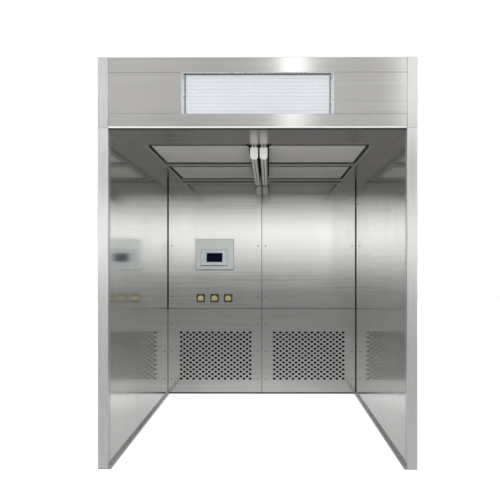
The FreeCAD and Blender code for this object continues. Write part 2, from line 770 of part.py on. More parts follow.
def header_side(side):
    """Side sheet of the header: seated on the wall, with a ledge for the roof and a top flange."""
    sheet = PAN_SHEET
    outer, web = HALF_WIDTH, HALF_WIDTH - sheet
    ledge = ROOF_Z - ROOF_PAN_DEPTH
    outline = [
        (INNER_X, HEADER_Z), (outer, HEADER_Z), (outer, BOOTH_HEIGHT),
        (outer - SIDE_FLANGE, BOOTH_HEIGHT), (outer - SIDE_FLANGE, BOOTH_HEIGHT - sheet),
        (web, BOOTH_HEIGHT - sheet), (web, ledge), (outer - SIDE_FLANGE, ledge),
        (outer - SIDE_FLANGE, ledge - sheet), (web, ledge - sheet), (web, HEADER_Z + sheet),
        (INNER_X, HEADER_Z + sheet),
    ]
    return along_y([(side * x, z) for x, z in outline], RAIL_Y, CASING_Y)


def gland_place():
    return HALF_WIDTH - GLAND_SIDE_INSET, CASING_Y - GLAND_REAR_INSET


def roof_panel():
    """Sunken roof deck on the side ledges, with the hole for the cable gland."""
    half = HALF_WIDTH - PAN_SHEET
    deck = pan(-half, half, RAIL_Y, CASING_Y, ROOF_Z - ROOF_PAN_DEPTH, ROOF_Z, PAN_SHEET, "-z")
    x, y = gland_place()
    return deck.cut(Part.makeCylinder(
        GLAND_NECK_RADIUS + GLAND_CLEARANCE, 4 * PAN_SHEET, vector(x, y, ROOF_Z - 2 * PAN_SHEET),
    ))


def roof_cable_gland():
    """Hexagonal gland body with its neck through the roof deck and a clear bore for the supply cable."""
    x, y = gland_place()
    head = prism(GLAND_FLATS / 2 / math.cos(math.pi / 6), 6, x, y, ROOF_Z, ROOF_Z + GLAND_HEAD)
    neck = prism(GLAND_NECK_RADIUS, ROUND_SIDES, x, y, ROOF_Z - GLAND_NECK_REACH, ROOF_Z)
    bore = Part.makeCylinder(
        GLAND_BORE_RADIUS, GLAND_HEAD + GLAND_NECK_REACH + 2, vector(x, y, ROOF_Z - GLAND_NECK_REACH - 1),
    )
    return fused(head, neck).cut(bore)


# Ceiling

def ceiling_panel(side):
    """Half of the ceiling, a shallow pan with a cut-out under each supply filter."""
    panel = pan(
        0, side * INNER_X, FRONT_Y + CEILING_FRONT_GAP, BACK_Y + CEILING_REAR_LAP,
        CEILING_Z, HEADER_Z, CEILING_SHEET, "+z",
    )
    for start in FILM_STARTS:
        front = start - (FILM_FRONT_GAP if start == FILM_STARTS[0] else FILM_END_GAP)
        panel = panel.cut(box(
            side * CENTRE_STRIP_HALF, side * CUT_OUTER_X,
            front, start + FILM_LENGTH + FILM_END_GAP, CEILING_Z - 1, SEAT_Z + 1,
        ))
    return panel


def diffuser_trim():
    """Bars under the ceiling: along the outer sides, between the two rows of diffusers and behind them."""
    rear_start = FILM_STARTS[1] + FILM_LENGTH + FILM_END_GAP
    cross_start = FILM_STARTS[0] + FILM_LENGTH + FILM_END_GAP
    rear_end = rear_start + TRIM_CROSS_WIDTH
    bars = []
    for _, side in SIDES:
        inner, edge = side * CENTRE_STRIP_HALF, side * CUT_OUTER_X
        outer = side * (CUT_OUTER_X + TRIM_SIDE_WIDTH)
        bars.append(box(edge, outer, CUT_FRONT_Y, rear_end, TRIM_Z, CEILING_Z))
        bars.append(box(inner, edge, cross_start, cross_start + TRIM_CROSS_WIDTH, TRIM_Z, CEILING_Z))
        bars.append(box(inner, edge, rear_start, rear_end, TRIM_Z, CEILING_Z))
    return group(bars)


def film_places():
    """Side, near x, far x and start of each of the four diffusers."""
    places = []
    for start in FILM_STARTS:
        for _, side in SIDES:
            places.append((side * FILM_INNER_X, side * FILM_OUTER_X, start, start + FILM_LENGTH))
    return places


def supply_filter_rails():
    """Channels above the ceiling pans, open below, whose ledges carry the four supply filters."""
    sheet = SEAT_SHEET
    low, high = SEAT_Z, SEAT_TOP
    outer, ledge_out = CUT_OUTER_X + SEAT_FOOT, FILM_OUTER_X - SEAT_LEDGE
    foot_in, ledge_in = CENTRE_STRIP_HALF - SEAT_FOOT, FILM_INNER_X + SEAT_LEDGE
    front = CUT_FRONT_Y - SEAT_FOOT
    rear = FILM_STARTS[1] + FILM_LENGTH + FILM_END_GAP + SEAT_FOOT
    centre = [
        (-ledge_in, high), (-ledge_in, high - sheet), (-foot_in, high - sheet), (-foot_in, low),
        (sheet - foot_in, low), (sheet - foot_in, high - sheet), (foot_in - sheet, high - sheet),
        (foot_in - sheet, low), (foot_in, low), (foot_in, high - sheet), (ledge_in, high - sheet),
        (ledge_in, high),
    ]
    rails = [along_y(centre, front, rear)]
    for _, side in SIDES:
        outline = [
            (side * outer, low), (side * outer, high), (side * ledge_out, high),
            (side * ledge_out, high - sheet), (side * (outer - sheet), high - sheet),
            (side * (outer - sheet), low),
        ]
        rails.append(along_y(outline, front, rear))
        x0, x1 = side * ledge_in, side * ledge_out
        cross_low = FILM_STARTS[0] + FILM_LENGTH - SEAT_LEDGE
        cross_high = FILM_STARTS[1] + SEAT_LEDGE
        cross_foot = FILM_STARTS[0] + FILM_LENGTH + FILM_END_GAP + SEAT_FOOT
        cross_foot_end = FILM_STARTS[1] - FILM_END_GAP - SEAT_FOOT
        rails.append(along_x([
            (front, low), (front, high), (FILM_STARTS[0] + SEAT_LEDGE, high),
            (FILM_STARTS[0] + SEAT_LEDGE, high - sheet), (front + sheet, high - sheet), (front + sheet, low),
        ], x0, x1))
        rails.append(along_x([
            (cross_low, high), (cross_low, high - sheet), (cross_foot, high - sheet), (cross_foot, low),
            (cross_foot + sheet, low), (cross_foot + sheet, high - sheet),
            (cross_foot_end - sheet, high - sheet), (cross_foot_end - sheet, low), (cross_foot_end, low),
            (cross_foot_end, high - sheet), (cross_high, high - sheet), (cross_high, high),
        ], x0, x1))
        last = FILM_STARTS[1] + FILM_LENGTH - SEAT_LEDGE
        rails.append(along_x([
            (rear, low), (rear, high), (last, high), (last, high - sheet), (rear - sheet, high - sheet),
            (rear - sheet, low),
        ], x0, x1))
    return group(rails)


def supply_filter(x0, x1, y0, y1):
    """Final filter: four frame bars around a media pack set back from both faces."""
    wall = FILTER_CASE_WALL
    top = SEAT_TOP + SUPPLY_FILTER_HEIGHT
    low, high = sorted((x0, x1))
    pack = box(low + wall, high - wall, y0 + wall, y1 - wall, SEAT_TOP + wall, top - wall)
    return ring_bars(x0, x1, y0, y1, SEAT_TOP, top, wall, wall, "z") + [pack]


def diffuser_frame(x0, x1, y0, y1):
    """Skirt of four strips that hangs from the rails' ledges and holds the diffuser film stretched."""
    wall = FILM_FRAME_WALL
    film_top = TRIM_Z + FILM_RECESS + FILM_SHEET
    return ring_bars(x0, x1, y0, y1, film_top, SEAT_TOP - SEAT_SHEET, wall, wall, "z")


def diffuser_film(x0, x1, y0, y1):
    return box(x0, x1, y0, y1, TRIM_Z + FILM_RECESS, TRIM_Z + FILM_RECESS + FILM_SHEET)


# Lamps

def lamp_solid(x, shrink, y0, y1):
    """Lamp section, smaller all round by shrink: flat top, upright sides, rounded lower edges."""
    half = LAMP_WIDTH / 2 - shrink
    bottom = TRIM_Z - LAMP_HEIGHT + shrink
    body = box(x - half, x + half, y0, y1, bottom, TRIM_Z - shrink)

    def is_lower_edge(edge):
        place = edge_box(edge)
        return place.YLength > 1 and place.ZMax < bottom + 1e-3

    return round_edges(body, LAMP_CORNER - shrink, is_lower_edge)


def lamp_y():
    start = FRONT_Y + LAMP_START
    return start, start + LAMP_LENGTH


def lamp_body(side):
    """Lamp case: foot against the ceiling and hollow teardrop cover between the end caps."""
    x = side * LAMP_PITCH / 2
    y0, y1 = lamp_y()
    shell = lamp_solid(x, 0, y0 + LAMP_CAP, y1 - LAMP_CAP)
    shell = shell.cut(lamp_solid(x, LAMP_SHELL, y0, y1))
    foot = box(
        x - LAMP_FOOT_WIDTH / 2, x + LAMP_FOOT_WIDTH / 2, y0 + LAMP_CAP, y1 - LAMP_CAP, TRIM_Z, CEILING_Z,
    )
    return fused(shell, foot)


def lamp_end_caps():
    y0, y1 = lamp_y()
    caps = []
    for _, side in SIDES:
        x = side * LAMP_PITCH / 2
        caps.append(lamp_solid(x, 0, y0, y0 + LAMP_CAP))
        caps.append(lamp_solid(x, 0, y1 - LAMP_CAP, y1))
    return group(caps)


# Control panel

def control_plate():
    """Cover plate on the wall, bored for the display housing, with bevelled edges."""
    plate = box(
        CONTROL_X - CONTROL_WIDTH / 2, CONTROL_X + CONTROL_WIDTH / 2,
        BACK_Y - CONTROL_THICKNESS, BACK_Y,
        CONTROL_Z - CONTROL_HEIGHT / 2, CONTROL_Z + CONTROL_HEIGHT / 2,
    )
    front = BACK_Y - CONTROL_THICKNESS
    plate = bevel_edges(plate, CONTROL_CHAMFER, lambda edge: edge_box(edge).YMax < front + 1e-3)
    return plate.cut(hmi_body(CUTOUT_CLEARANCE))


def screen_box(reach):
    """The display glass, let into the bezel slightly right of its middle and below it."""
    front = BACK_Y - CONTROL_THICKNESS - HMI_THICKNESS
    x, z = HMI_X + SCREEN_SHIFT_X, HMI_Z + SCREEN_SHIFT_Z
    return box(
        x - SCREEN_WIDTH / 2, x + SCREEN_WIDTH / 2,
        front + SCREEN_RECESS - reach, front + SCREEN_RECESS + SCREEN_THICKNESS,
        z - SCREEN_HEIGHT / 2, z + SCREEN_HEIGHT / 2,
    )


def hmi_housing():
    """Display housing: bevelled bezel in front of the cover plate and a body behind it."""
    front = BACK_Y - CONTROL_THICKNESS - HMI_THICKNESS
    bezel = box(
        HMI_X - HMI_WIDTH / 2, HMI_X + HMI_WIDTH / 2, front, front + HMI_THICKNESS,
        HMI_Z - HMI_HEIGHT / 2, HMI_Z + HMI_HEIGHT / 2,
    )
    bezel = bevel_edges(bezel, HMI_CHAMFER, lambda edge: edge_box(edge).YMax < front + 1e-3)
    return fused(bezel, hmi_body(0)).cut(screen_box(SCREEN_RECESS + 1))


def hmi_screen():
    return screen_box(0)


# Sockets

def lid_axis():
    """Height and depth of the lids' hinge pins."""
    front = BACK_Y - SOCKET_THICKNESS
    return front - LID_PROUD, SOCKET_Z + LID_HEIGHT / 2


def hinge_block(x0, x1, y1):
    """Square block around the hinge pin, from its front face back to y1."""
    y, z = lid_axis()
    half = KNUCKLE_SIZE / 2
    return box(x0, x1, y - half, y1, z - half, z + half)


def pocket_half():
    return LID_WIDTH / 2 + LID_CLEARANCE


def socket_frame(x):
    """Square plate with a pocket for the lid, the lugs with their pressed-in pin, and the wall box."""
    front = BACK_Y - SOCKET_THICKNESS
    floor = front + POCKET_DEPTH
    half = SOCKET_PLATE / 2
    plate = box(x - half, x + half, front, BACK_Y, SOCKET_Z - half, SOCKET_Z + half)
    plate = bevel_edges(plate, SOCKET_CHAMFER, lambda edge: edge_box(edge).YMax < front + 1e-3)
    y, z = lid_axis()
    bottom = SOCKET_Z - LID_HEIGHT / 2 - LID_CLEARANCE
    pocket = box(x - pocket_half(), x + pocket_half(), front - 1, floor, bottom, z + KNUCKLE_SIZE)
    frame = plate.cut(pocket)
    half_box = SOCKET_BOX / 2
    frame = frame.fuse(box(
        x - half_box, x + half_box, BACK_Y, BACK_Y + SOCKET_BOX_DEPTH,
        SOCKET_Z - half_box, SOCKET_Z + half_box,
    ))
    lug_start = KNUCKLE_LENGTH / 2 + KNUCKLE_GAP
    for _, side in SIDES:
        frame = frame.fuse(hinge_block(x + side * lug_start, x + side * pocket_half(), floor))
    pin = Part.makeCylinder(HINGE_PIN_RADIUS, 2 * lug_start, vector(x - lug_start, y, z), vector(1, 0, 0))
    return frame.fuse(pin).removeSplitter()


def socket_lid(x):
    """Spring lid: a plate that hangs from its hinge knuckle, clear of the lugs' corners as it turns."""
    y, z = lid_axis()
    half = LID_WIDTH / 2
    neck = KNUCKLE_LENGTH / 2
    shoulder = z - math.hypot(KNUCKLE_SIZE / 2, KNUCKLE_SIZE / 2) - LID_CLEARANCE
    plate = box(x - half, x + half, y, y + LID_THICKNESS, z - LID_HEIGHT, shoulder)
    bridge = box(x - neck, x + neck, y, y + KNUCKLE_SIZE / 2, shoulder, z)
    barrel = hinge_block(x - neck, x + neck, y + KNUCKLE_SIZE / 2)
    hole = Part.makeCylinder(
        HINGE_PIN_RADIUS + HINGE_CLEARANCE, KNUCKLE_LENGTH + 2, vector(x - neck - 1, y, z), vector(1, 0, 0),
    )
    return fused(plate, bridge, barrel).cut(hole)


def main():
    for name, side in SIDES:
        export(name + "_wall_panel", wall_panel(side))
        export(name + "_wall_lining", wall_lining(side))
        export(name + "_front_post", front_post(side))
        export(name + "_base_channel", base_channel(side))
        export("rear_panel_" + name, rear_panel(side))
        export("back_panel_" + name, back_panel(side))
        export("return_grille_" + name, return_grille(side))
        export("prefilter_" + name, return_filter(side, RACK_Y, PREFILTER_DEPTH))
        export("medium_filter_" + name, return_filter(side, RACK_Y + PREFILTER_DEPTH, MEDIUM_FILTER_DEPTH))
        export("fan_motor_" + name, fan_motor(side))
        export("fan_wheel_" + name, fan_wheel(side))
        export("header_post_" + name, header_post(side))
        export("header_panel_" + name, header_panel(side))
        export("header_side_" + name, header_side(side))
        export("ceiling_panel_" + name, ceiling_panel(side))
        export("lamp_" + name, lamp_body(side))
    export("wall_cores", group([wall_core(side) for _, side in SIDES]))
    export("casing_floor", casing_floor())
    export("back_wall_frame", back_wall_frame())
    export("return_filter_rack", return_filter_rack())
    export("fan_shelf", fan_shelf())
    export("header_top_rail", header_top_rail())
    export("header_bottom_rail", header_bottom_rail())
    export("header_rear_panel", header_rear_panel())
    export("exhaust_window_frame", exhaust_window_frame())
    export("exhaust_filter_frame", exhaust_filter_frame())
    export("exhaust_filter_pleats", exhaust_filter_pleats())
    export("exhaust_damper_frame", exhaust_damper_frame())
    export("exhaust_damper_blade", exhaust_damper_blade())
    export("roof_panel", roof_panel())
    export("roof_cable_gland", roof_cable_gland())
    export("diffuser_trim", diffuser_trim())
    export("supply_filter_rails", supply_filter_rails())
    export("supply_filters", group(sum((supply_filter(*place) for place in film_places()), [])))
    export("diffuser_frames", group(sum((diffuser_frame(*place) for place in film_places()), [])))
    export("diffuser_films", group([diffuser_film(*place) for place in film_places()]))
    export("lamp_end_caps", lamp_end_caps())
    export("control_plate", control_plate())
    export("hmi_housing", hmi_housing())
    export("hmi_screen", hmi_screen())
    export("socket_frames", group([socket_frame(x) for x in socket_centres()]))
    for index, x in enumerate(socket_centres()):
        export("socket_lid_" + str(index + 1), socket_lid(x))


main()
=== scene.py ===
"""Looks of the negative pressure weighing booth: materials, fine detail, floor, light and camera.

Metres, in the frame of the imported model: X right, Y to the rear, Z up, floor at Z = 0.
"""

import math

import bmesh
import bpy
from mathutils import Matrix, Vector


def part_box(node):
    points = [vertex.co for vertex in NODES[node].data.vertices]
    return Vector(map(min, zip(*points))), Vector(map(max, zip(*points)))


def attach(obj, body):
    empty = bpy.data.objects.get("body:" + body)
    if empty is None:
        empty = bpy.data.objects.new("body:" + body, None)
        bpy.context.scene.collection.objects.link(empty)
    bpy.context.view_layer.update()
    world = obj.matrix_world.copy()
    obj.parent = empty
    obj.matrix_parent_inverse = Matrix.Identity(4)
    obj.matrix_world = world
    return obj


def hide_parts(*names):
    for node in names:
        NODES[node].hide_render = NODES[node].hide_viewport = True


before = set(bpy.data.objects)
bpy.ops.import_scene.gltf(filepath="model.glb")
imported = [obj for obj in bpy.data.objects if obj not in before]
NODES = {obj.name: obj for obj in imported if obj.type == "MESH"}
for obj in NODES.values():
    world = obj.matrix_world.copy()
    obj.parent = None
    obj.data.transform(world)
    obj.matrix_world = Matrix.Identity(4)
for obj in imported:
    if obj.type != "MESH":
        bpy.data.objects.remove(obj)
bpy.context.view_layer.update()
ROOT = "booth"
SIDES = ("left", "right")

# Camera, fitted to the photograph's edges
CAMERA_PLACE = (0.0698, -4.6288, 1.2110)
CAMERA_YAW = 0.0042
CAMERA_LENS = 40.95
CAMERA_SENSOR = 36.0
CAMERA_SHIFT = (-0.0336, 0.0314)

# Room around the booth: what matt surfaces receive, and what metal mirrors at each elevation in degrees
ROOM_LEVEL = 0.85
ROOM_BRIGHTEST = 2.6
ROOM_LEVELS = (
    (-8, 0.12), (-3.1, 0.13), (-1.9, 0.10), (-1.5, 0.12), (-1.0, 0.20), (-0.6, 0.25), (-0.2, 0.30),
    (0.2, 0.385), (1.0, 0.46), (1.4, 0.50), (1.8, 0.61), (2.2, 0.67), (2.6, 0.76), (3.0, 0.82),
    (3.4, 0.87), (3.8, 0.88), (4.2, 0.78), (4.6, 0.64), (5.0, 0.47), (5.4, 0.34), (5.8, 0.19),
    (6.2, 0.11), (6.8, 0.08), (7.6, 0.06), (8.6, 0.05), (10.5, 0.06), (13, 0.40), (16.5, 0.35),
    (20, 0.29), (35, 0.28),
)
# The room's unevenness from left to right, by the direction's share of X
ROOM_ACROSS = ((-0.4, 0.89), (-0.22, 0.92), (-0.1, 0.82), (0.1, 0.94), (0.22, 0.84), (0.4, 0.86))

# Soft lamps: name, place, aim, size, power in watts, and whether metal mirrors the lamp
LAMPS = (
    ("key", (-1.8, -5.5, 3.4), (0, 0, 1.2), (3.0, 2.0), 120, False),
    ("strip", (0.40, -5.6, 3.75), (0.2, -1.2, 2.0), (0.3, 1.4), 3, True),
    ("side_strip", (2.35, -5.6, 4.0), (0.9, -1.2, 2.2), (0.9, 2.0), 6, True),
)

# Floor: as it lights the booth and as the camera sees it, with a glow of its own there
FLOOR_SIZE = 30.0
FLOOR_COLOR = (0.72, 0.72, 0.71, 1.0)
FLOOR_SEEN = (0.40, 0.40, 0.395, 1.0)
FLOOR_GLOW = 0.88
# What metal mirrors of the floor, by the distance from the foot of the back wall
BACK_FOOT = (0.0, 0.75, 0.0)
FLOOR_MIRRORED = ((0.0, 0.70), (0.5, 0.66), (1.0, 0.50), (2.5, 0.40), (5.0, 0.32), (8.6, 0.28))

# Features per metre of the brushed grooves that run along an axis
GRAIN_SCALE = {"x": (1.1, 70.0, 70.0), "y": (70.0, 1.1, 70.0), "z": (70.0, 70.0, 1.1)}

# Softened edges of carried-over nodes
TUBE_EDGE = 0.0022
PAN_EDGE = 0.001
FITTING_EDGE = 0.0006

# Edge of the thin sheets and strips made here
STRIP_EDGE = 0.0003

# Perforation of the return grilles
HOLE_ROWS = 21
HOLE_COLUMNS = 12
HOLE_PITCH = 0.0593
ROW_PITCH = 0.0218
HOLE_WIDTH = 0.027
HOLE_HEIGHT = 0.020
FIRST_ROW_HEIGHT = 0.143
LEFT_HOLES_INWARD = 0.007
GRILLE_SHEET = 0.0015

# Button-head screws of the back wall and of the control plate
SCREW_RADIUS = 0.006
SCREW_HEIGHT = 0.003
SCREW_INSET = 0.036
CORNER_GAP = 0.007
SCREW_HEIGHTS = (0.141, 0.401, 0.661, 0.920, 1.397, 1.874)
PLATE_SCREW_RADIUS = 0.004
PLATE_SCREW_HEIGHT = 0.002
PLATE_SCREW_INSET = 0.013
SCREW_SIDES = 12
# Head and hexagon socket from rim to middle: share of the radius, and share of the height
HEAD_PROFILE = ((1.0, 0.0), (1.0, 0.3), (0.87, 0.66), (0.64, 0.91), (0.45, 1.0))
SOCKET_PROFILE = ((0.42, 1.0), (0.42, 0.45))

# Rubber strip around the exhaust filter's face; dark and wider at the top, it also paints the shade of the
# recess under the header's top rail
GASKET_AND_SHADE_SIDE = 0.0025
GASKET_AND_SHADE_TOP = 0.003
GASKET_AND_SHADE_PROUD = 0.003
WINDOW_FOOT = 0.018
WINDOW_PLAY = 0.002

# Painted highlight: a pale matt band along the lower edge of the header's bottom rail
HIGHLIGHT_BAND_HEIGHT = 0.0085
HIGHLIGHT_BAND_BLEND = 0.0005
HIGHLIGHT_BAND_COLOR = (0.84, 0.84, 0.80, 1.0)

# Dark strips in the header's seams, from and to these depths behind its front
SEAL_WIDTH = 0.0026
SEAL_DEPTH = (0.0012, 0.003)
SEAL_EDGE = 0.0002
SEAL_END = 0.001
# Painted shade: a dark strip in front of the ceiling pans, under the header's bottom rail: reach before and
# behind their edge, play below and above
CEILING_SHADE_REACH = (0.004, 0.0005)
CEILING_SHADE_PLAY = (0.0005, 0.0002)
CEILING_SHADE_EDGE = 0.0004

# Painted shade: dark strips where the shade falls beside the grilles, at the left and the right wall, and in
# the gap under them
CORNER_SHADES = (0.003, 0.008)
CORNER_SHADE_DEPTH = 0.001
CORNER_SHADE_PLAY = 0.0002
FLOOR_PLAY = 0.0004

# Dark joints around nodes, widened below into a painted shadow: the node, what it sits on, the joint's width
# at the sides and the painted shadow's width below
JOINTS_AND_SHADOWS = (
    ("control_plate", "back_panel_left", 0.0012, 0.006),
    ("hmi_housing", "control_plate", 0.0008, 0.007),
)
JOINT_AND_SHADOW_LAP = 0.001
JOINT_AND_SHADOW_DEPTH = 0.0015

# Painted shade: dark strips beside and between the lamps, where the shade falls in the gaps of the ceiling
LAMP_SHADE_WIDTH = 0.0115
LAMP_SHADE_HEIGHT = 0.003
LAMP_SHADE_END = 0.010

# Close vertical pleats of the exhaust filter and the glue beads across them
FINE_PLEAT_PITCH = 0.0052
FINE_PLEAT_DEPTH = 0.0045
BEAD_PITCH = 0.0214
BEAD_WIDTH = 0.0022
BEAD_PROUD = 0.0006
BEAD_SUNK = 0.001

# Diffusers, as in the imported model
FILM_INNER_X = 0.084
FILM_SPANS = ((-0.828, -0.244), (-0.034, 0.550))

# Lengthwise bands of the lamp covers, painted highlights near the rounded edges and painted shade in the
# middle and at the sides: distance from the middle, tone and glow
LAMP_X = 0.032
LAMP_COLOR = (1.0, 1.0, 0.95)
LAMP_PAINTED_BANDS = (
    (0.0, 0.24, 0.02), (0.004, 0.26, 0.02), (0.0065, 0.72, 0.09), (0.015, 0.72, 0.09), (0.019, 0.20, 0.01),
    (0.026, 0.05, 0.0),
)

# Raised lines: distance inward from the node's sides, and width
DISPLAY_RIM = (-0.004, 0.004)
BEZEL_RIM = (0.003, 0.006)
LID_RIM = (0.005, 0.002)
RIM_PROUD = 0.0008
RIM_EDGE = 0.0002


# Node trees

class Graph:
    """A node tree in the making."""

    def __init__(self, tree):
        self.tree = tree
        tree.nodes.clear()

    def add(self, kind, **values):
        node = self.tree.nodes.new(kind)
        for key, value in values.items():
            setattr(node, key, value)
        return node

    def link(self, source, target):
        self.tree.links.new(source, target)

    def remap(self, value, low, high, to_low, to_high):
        node = self.add("ShaderNodeMapRange")
        for key, number in zip(("From Min", "From Max", "To Min", "To Max"), (low, high, to_low, to_high)):
            node.inputs[key].default_value = number
        self.link(value, node.inputs["Value"])
        return node.outputs["Result"]

    def math(self, operation, first, second=None):
        node = self.add("ShaderNodeMath", operation=operation)
        for index, value in enumerate((first, second)):
            if isinstance(value, (int, float)):
                node.inputs[index].default_value = value
            elif value is not None:
                self.link(value, node.inputs[index])
        return node.outputs[0]

    def graded(self, value, stops):
        """Colour read off a row of stops along a value; each stop is a value and a colour."""
        first, last = stops[0][0], stops[-1][0]
        ramp = self.add("ShaderNodeValToRGB")
        marks = ramp.color_ramp.elements
        marks.remove(marks[1])
        for index, (place, color) in enumerate(stops):
            share = (place - first) / (last - first)
            mark = marks[0] if index == 0 else marks.new(share)
            mark.position = share
            mark.color = color
        self.link(self.remap(value, first, last, 0.0, 1.0), ramp.inputs[0])
        return ramp.outputs[0]

    def either(self, factor, first, second):
        """Surface that goes from the first to the second shader with the factor."""
        node = self.add("ShaderNodeMixShader")
        for source, target in zip((factor, first, second), node.inputs):
            self.link(source, target)
        return node.outputs[0]

    def in_metal(self, path):
        """1 where a mirrored or transmitted ray looks, from a Light Path node."""
        return self.math("MAXIMUM", path.outputs["Is Glossy Ray"], path.outputs["Is Transmission Ray"])


class Shade(Graph):
    """A node material in the making, around one Principled BSDF."""

    def __init__(self, name):
        self.material = bpy.data.materials.new(name)
        self.material.use_nodes = True
        super().__init__(self.material.node_tree)
        self.bsdf = self.add("ShaderNodeBsdfPrincipled")
        self.output = self.add("ShaderNodeOutputMaterial")
        self.link(self.bsdf.outputs[0], self.output.inputs["Surface"])
        self.place = self.add("ShaderNodeTexCoord").outputs["Object"]

    def put(self, **values):
        """Sets sockets of the BSDF; underscores stand for spaces."""
        for key, value in values.items():
            self.bsdf.inputs[key.replace("_", " ")].default_value = value

    def along(self, axis):
        """The place along X, Y or Z."""
        node = self.add("ShaderNodeSeparateXYZ")
        self.link(self.place, node.inputs[0])
        return node.outputs[axis]

    def noise(self, scale, detail, roughness, distortion=0.0):
        """Noise between 0 and 1; scale holds the features per metre along X, Y and Z."""
        mapping = self.add("ShaderNodeMapping")
        mapping.inputs["Scale"].default_value = scale
        self.link(self.place, mapping.inputs["Vector"])
        noise = self.add("ShaderNodeTexNoise")
        noise.inputs["Scale"].default_value = 1.0
        noise.inputs["Detail"].default_value = detail
        noise.inputs["Roughness"].default_value = roughness
        noise.inputs["Distortion"].default_value = distortion
        self.link(mapping.outputs[0], noise.inputs["Vector"])
        return noise.outputs["Fac"]

    def spread(self, noise, middle, amount):
        """Spreads the usual span of a noise over a middle value, less and plus an amount."""
        return self.remap(noise, 0.3, 0.7, middle - amount, middle + amount)

    def mix(self, factor, first, second, blend="MIX"):
        """Colour mix; each input is a socket or a colour."""
        node = self.add("ShaderNodeMix", data_type="RGBA", blend_type=blend)
        for socket, value in zip((node.inputs[0], node.inputs[6], node.inputs[7]), (factor, first, second)):
            if isinstance(value, (int, float, tuple)):
                socket.default_value = value
            else:
                self.link(value, socket)
        return node.outputs[2]

    def shaded(self, color, *levels):
        """The colour times two levels."""
        return self.mix(1.0, tone(color), self.math("MULTIPLY", *levels), "MULTIPLY")

    def bump(self, height, strength, distance):
        node = self.add("ShaderNodeBump")
        node.inputs["Strength"].default_value = strength
        node.inputs["Distance"].default_value = distance
        self.link(height, node.inputs["Height"])
        self.link(node.outputs[0], self.bsdf.inputs["Normal"])


def tone(color, factor=1.0):
    return tuple(channel * factor for channel in color) + (1.0,)


def grey(level):
    return tone((level,) * 3)


# Materials

def brushed(name, color, grain, rough, anisotropy, facing="wall", highlight_top=None, metallic=1.0):
    """Brushed metal: fine grooves along an axis, slow tone changes and a highlight drawn across the grooves.

    Below a given height, where one is given, a painted highlight makes it pale and matt.
    """
    s = Shade(name)
    s.put(Metallic=metallic, Anisotropic=anisotropy, Anisotropic_Rotation=0.0 if grain == "z" else 0.25)
    tangent = s.add("ShaderNodeTangent", direction_type="RADIAL")
    tangent.axis = "Z" if facing == "wall" else ("Y" if grain == "x" else "X")
    s.link(tangent.outputs[0], s.bsdf.inputs["Tangent"])
    grooves = s.noise(GRAIN_SCALE[grain], 7.0, 0.72)
    clouds = s.noise((1.6,) * 3, 3.0, 0.55, 0.6)
    surface = s.shaded(color, s.spread(grooves, 1.0, 0.06), s.spread(clouds, 1.0, 0.05))
    # Painted highlight: pale matt band below the given height
    if highlight_top:
        steel = s.remap(s.along("Z"), highlight_top - HIGHLIGHT_BAND_BLEND, highlight_top + HIGHLIGHT_BAND_BLEND, 0.0, 1.0)
        surface = s.mix(steel, HIGHLIGHT_BAND_COLOR, surface)
        s.link(steel, s.bsdf.inputs["Metallic"])
    s.link(surface, s.bsdf.inputs["Base Color"])
    s.link(s.spread(grooves, rough, 0.02), s.bsdf.inputs["Roughness"])
    return s.material


def mottled(name, color, rough, metallic=0.0, scale=60.0, amount=0.06, **sockets):
    """Plain stuff with a fine irregular tone and surface."""
    s = Shade(name)
    s.put(Metallic=metallic, **sockets)
    grain = s.noise((scale,) * 3, 5.0, 0.6)
    slow = s.noise((2.5,) * 3, 2.0, 0.5)
    surface = s.shaded(color, s.spread(grain, 1.0, amount), s.spread(slow, 1.0, amount))
    s.link(surface, s.bsdf.inputs["Base Color"])
    s.link(s.spread(grain, rough, 0.05), s.bsdf.inputs["Roughness"])
    s.bump(grain, 0.1, 0.0003)
    return s.material


def woven(name, color, pitch=0.0012):
    """Fine plain weave."""
    s = Shade(name)
    s.put(Roughness=0.9)
    waves = []
    for axis in ("X", "Y"):
        wave = s.add("ShaderNodeTexWave", bands_direction=axis)
        wave.inputs["Scale"].default_value = 1 / (pitch * 20)
        s.link(s.place, wave.inputs["Vector"])
        waves.append(wave.outputs["Fac"])
    weave = s.math("MULTIPLY", *waves)
    slow = s.noise((3.0,) * 3, 3.0, 0.5)
    surface = s.shaded(color, s.remap(weave, 0.0, 1.0, 0.9, 1.08), s.spread(slow, 1.0, 0.05))
    s.link(surface, s.bsdf.inputs["Base Color"])
    s.bump(weave, 0.3, 0.0003)
    return s.material


def lamp_cover(name):
    """Lamp cover with lengthwise bands of painted highlight and painted shade, and a faint painted glow."""
    s = Shade(name)
    from_middle = s.math("ABSOLUTE", s.math("SUBTRACT", s.math("ABSOLUTE", s.along("X")), LAMP_X))
    for index, socket in ((1, "Base Color"), (2, "Emission Color")):
        stops = [(band[0], tone(LAMP_COLOR, band[index])) for band in LAMP_PAINTED_BANDS]
        s.link(s.graded(from_middle, stops), s.bsdf.inputs[socket])
    grain = s.noise((300.0, 30.0, 300.0), 4.0, 0.6)
    s.link(s.spread(grain, 0.32, 0.04), s.bsdf.inputs["Roughness"])
    s.put(Emission_Strength=1.0)
    return s.material


def screen_glass(name):
    s = Shade(name)
    s.put(Roughness=0.12, IOR=1.12)
    slow = s.noise((20.0,) * 3, 2.0, 0.5)
    s.link(s.mix(slow, tone((0.002, 0.002, 0.016)), tone((0.004, 0.004, 0.03))), s.bsdf.inputs["Base Color"])
    return s.material


STEEL_BACK = brushed("steel_back_wall", (0.60, 0.60, 0.585), "x", 0.11, 0.4)
STEEL_SCREW = mottled("steel_screw", (0.20, 0.20, 0.19), 0.4, 1.0, 300.0, 0.05)
# Dark rubber for gaskets, also used for dark strips that paint shade in gaps and recesses
RUBBER_AND_PAINTED_SHADE = mottled("rubber_and_painted_shade", (0.03, 0.033, 0.035), 0.7)
